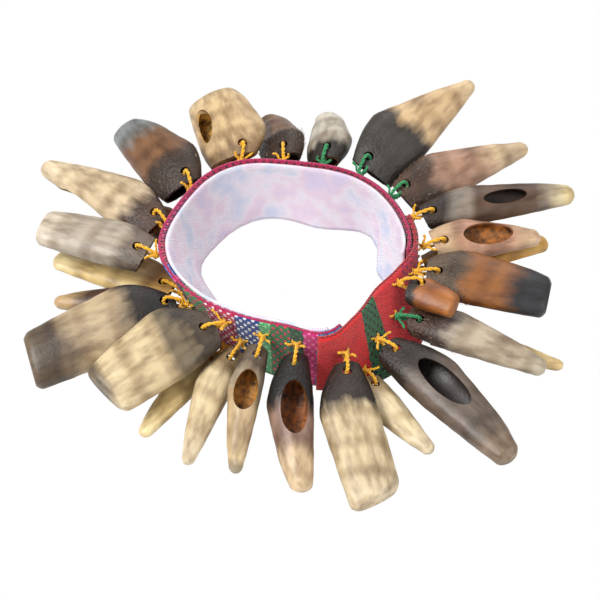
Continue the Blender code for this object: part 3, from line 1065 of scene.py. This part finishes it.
    def build(self, hair_finish: bpy.types.Material) -> list[bpy.types.Object]:
        """Build the shell, cut its holes and set it on its knot.

        Args:
            hair_finish: Material of the hairs.

        Returns:
            The pieces.
        """
        claw = self.claw
        material = horn_material(claw)
        item = self.lofted(material)
        rim, along, outward = self.tie_frame()
        origin = self.knot_place()
        cutters = [self.cutter((2 * HOLE_RADIUS, 2 * HOLE_RADIUS), WALL + 2.0,
                               rim + along * HOLE_FROM_RIM - outward * (WALL / 2) - origin,
                               outward, along, material)]
        if claw.mouth_long:
            middle = claw.mouth_from + claw.mouth_long / 2
            ring = self.ring(middle / claw.length, 0.0)
            centre = sum(ring, Vector()) / len(ring)
            centre.x = middle
            angle = math.radians(claw.mouth_at)
            out = Vector((0.0, math.cos(angle), math.sin(angle)))
            depth = claw.depth + claw.width
            cutters.append(self.cutter((claw.mouth_long, claw.mouth_wide), depth,
                                       centre + out * depth / 2 - origin, out,
                                       Vector((1.0, 0.0, 0.0)), material))
        self.cut(item, cutters)
        self.mark(item.data)
        item.data.transform(self.placed())
        item.data.shade_smooth()
        item.data.set_sharp_from_angle(angle=math.radians(50))
        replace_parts(item, "claw_" + claw.name)
        pieces = [item] + [h for h in [self.hair(hair_finish)] if h]
        for piece in pieces:
            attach(piece, "claw_" + claw.name)
        LOG.info("claw %s: %d faces", claw.name, len(item.data.polygons))
        return pieces


@dataclass(frozen=True)
class YarnTie:
    """The yarn ring that ties one shell to the cloth, with its knot and loose tails."""

    shell: ClawShell
    tail: float = 5.0

    def build(self, finishes: dict[Slot, bpy.types.Material]) -> bpy.types.Object:
        """Twist the yarn through the shell's hole and knot it.

        Args:
            finishes: Yarn materials by slot.

        Returns:
            The piece.
        """
        claw = self.shell.claw
        rng = random.Random(100 + int(claw.name))
        _, along, outward = self.shell.tie_frame()
        run = WALL / 2 + YARN_GAP + YARN_RADIUS
        hole = RIM_FROM_KNOT + HOLE_FROM_RIM
        half = [(0.0, 0.4), (1.5, run - 0.2), (RIM_FROM_KNOT, run), (hole - 1.1, run),
                (hole, 0.5 * run)]
        route = [along * u + outward * n for u, n in half + [(u, -n) for u, n in reversed(half)]]
        bm = bmesh.new()
        plied(bm, curve_through(route, 6, True), YARN_RADIUS, True)
        across = along.cross(outward)
        knot = []
        for i in range(54):
            t = math.tau * i / 54
            wide = 0.62 + 0.26 * math.cos(3 * t)
            knot.append(outward * wide * math.cos(2 * t) + across * wide * math.sin(2 * t)
                        + along * (0.38 * math.sin(3 * t)))
        plied(bm, knot, 0.5, True)
        up = self.shell.placed().to_3x3().inverted() @ Vector((0.0, 0.0, 1.0))
        for side in (-1, 1):
            swing = up * rng.uniform(0.3, 0.7) + across * side * 0.8 + along * 0.5
            end = swing.normalized() * self.tail * rng.uniform(0.6, 1.0)
            bend = Vector([rng.uniform(-0.8, 0.8) for _ in range(3)])
            path = curve_through([Vector(), end * 0.4 + bend * 0.5, end * 0.75, end + bend], 4, False)
            plied(bm, path, 0.42, False)
        slot = Slot.GREEN if claw.green else Slot.YELLOW
        item = to_object(bm, "yarn_" + claw.name, finishes[slot])
        item.data.transform(self.shell.placed())
        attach(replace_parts(item, "tie_" + claw.name), "claw_" + claw.name)
        return item


def build_anchors(shells: list[ClawShell], material: bpy.types.Material) -> bpy.types.Object:
    """Sew each knot to the cloth with a short run of yarn.

    Args:
        shells: Every shell.
        material: The yarn's finish.

    Returns:
        The piece, which stays with the cloth.
    """
    bm = bmesh.new()
    for shell in shells:
        knot = shell.knot_on_cloth()
        angle = math.radians(shell.claw.azimuth)
        out = Vector((math.cos(angle), math.sin(angle), 0.0))
        side = Vector((-out.y, out.x, 0.0))
        for shift in (-0.6, 0.6):
            foot = knot - out * (KNOT_GAP + KNOT_RADIUS + 0.3) + side * shift * 2.2
            sweep(bm, [foot, foot + out * 0.7, knot - out * 0.9 + side * shift * 0.4], 0.36)
    item = to_object(bm, "anchor_stitches", material)
    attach(item, "band")
    return item


@dataclass(frozen=True)
class Studio:
    """Plain white studio with the camera at the photograph's angle."""

    elevation: float = 45.0
    distance: float = 0.9
    lens: float = 180.0
    target: tuple[float, float, float] = (-0.00135, -0.00535, 0.0145)

    def lamp(self, name: str, place: tuple[float, float, float], size: float, power: float) -> None:
        """Hang one soft box that faces the bracelet.

        Args:
            name: The lamp's name.
            place: Where it hangs, in metres.
            size: Its width in metres.
            power: Its power in watts.
        """
        data = bpy.data.lights.new(name, "AREA")
        data.shape, data.size, data.energy = "DISK", size, power
        item = bpy.data.objects.new(name, data)
        bpy.context.scene.collection.objects.link(item)
        item.location = place
        item.rotation_euler = (-Vector(place)).to_track_quat("-Z", "Y").to_euler()

    def floor(self) -> None:
        """Lay the pale floor, which the camera sees as plain white."""
        bm = bmesh.new()
        bmesh.ops.create_grid(bm, x_segments=1, y_segments=1, size=2.0)
        bmesh.ops.translate(bm, vec=(0.0, 0.0, -0.0006), verts=bm.verts)
        shader = Shader("paper_floor", 0.9)
        shader.principled.inputs["Base Color"].default_value = linear("F2F2F2")
        shader.principled.inputs["Specular IOR Level"].default_value = 0.0
        white = shader.add("ShaderNodeEmission", {"Color": (1.0, 1.0, 1.0, 1.0), "Strength": 1.0})
        camera_ray = shader.add("ShaderNodeLightPath", {}, "Is Camera Ray")
        mixed = shader.add("ShaderNodeMixShader", {
            0: camera_ray, 1: shader.principled.outputs["BSDF"], 2: white})
        shader.tree.links.new(mixed, shader.tree.nodes["Material Output"].inputs["Surface"])
        to_object(bm, "paper_floor", shader.material)

    def build(self) -> None:
        """Set the floor, lamps, sky and camera."""
        scene = bpy.context.scene
        self.floor()
        self.lamp("key", (-0.45, -0.25, 0.7), 0.35, 7.0)
        self.lamp("fill", (0.6, -0.3, 0.5), 0.6, 1.8)
        self.lamp("back", (0.1, 0.6, 0.6), 0.5, 2.0)
        world = bpy.data.worlds.new("studio")
        world.use_nodes = True
        back = world.node_tree.nodes["Background"]
        back.inputs["Color"].default_value = (1.0, 1.0, 1.0, 1.0)
        back.inputs["Strength"].default_value = 0.5
        scene.world = world
        data = bpy.data.cameras.new("camera")
        data.lens, data.sensor_width = self.lens, 36.0
        camera = bpy.data.objects.new("camera", data)
        scene.collection.objects.link(camera)
        tilt = math.radians(self.elevation)
        aim = Vector((0.0, math.cos(tilt), -math.sin(tilt)))
        camera.location = Vector(self.target) - aim * self.distance
        camera.rotation_euler = aim.to_track_quat("-Z", "Y").to_euler()
        scene.camera = camera
        scene.view_settings.view_transform = "Standard"
        LOG.info("studio ready")


def main() -> None:
    """Build the bracelet piece by piece in the shared frame."""
    logging.basicConfig(level=logging.INFO, format="%(message)s")
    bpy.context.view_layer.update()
    ClothLoop().build()
    hair_finish = hair_material()
    # The second colour of each yarn is painted shade for the valleys between its fibres.
    yarns = {Slot.YELLOW: yarn_material("golden_wool", "FFC414", "C88408"),
             Slot.GREEN: yarn_material("green_wool", "2AA45E", "0E5230")}
    shells = [ClawShell(claw) for claw in CLAWS]
    for shell in shells:
        shell.build(hair_finish)
        YarnTie(shell).build(yarns)
    build_anchors(shells, yarns[Slot.YELLOW])
    Studio().build()


if __name__ == "__main__":
    main()
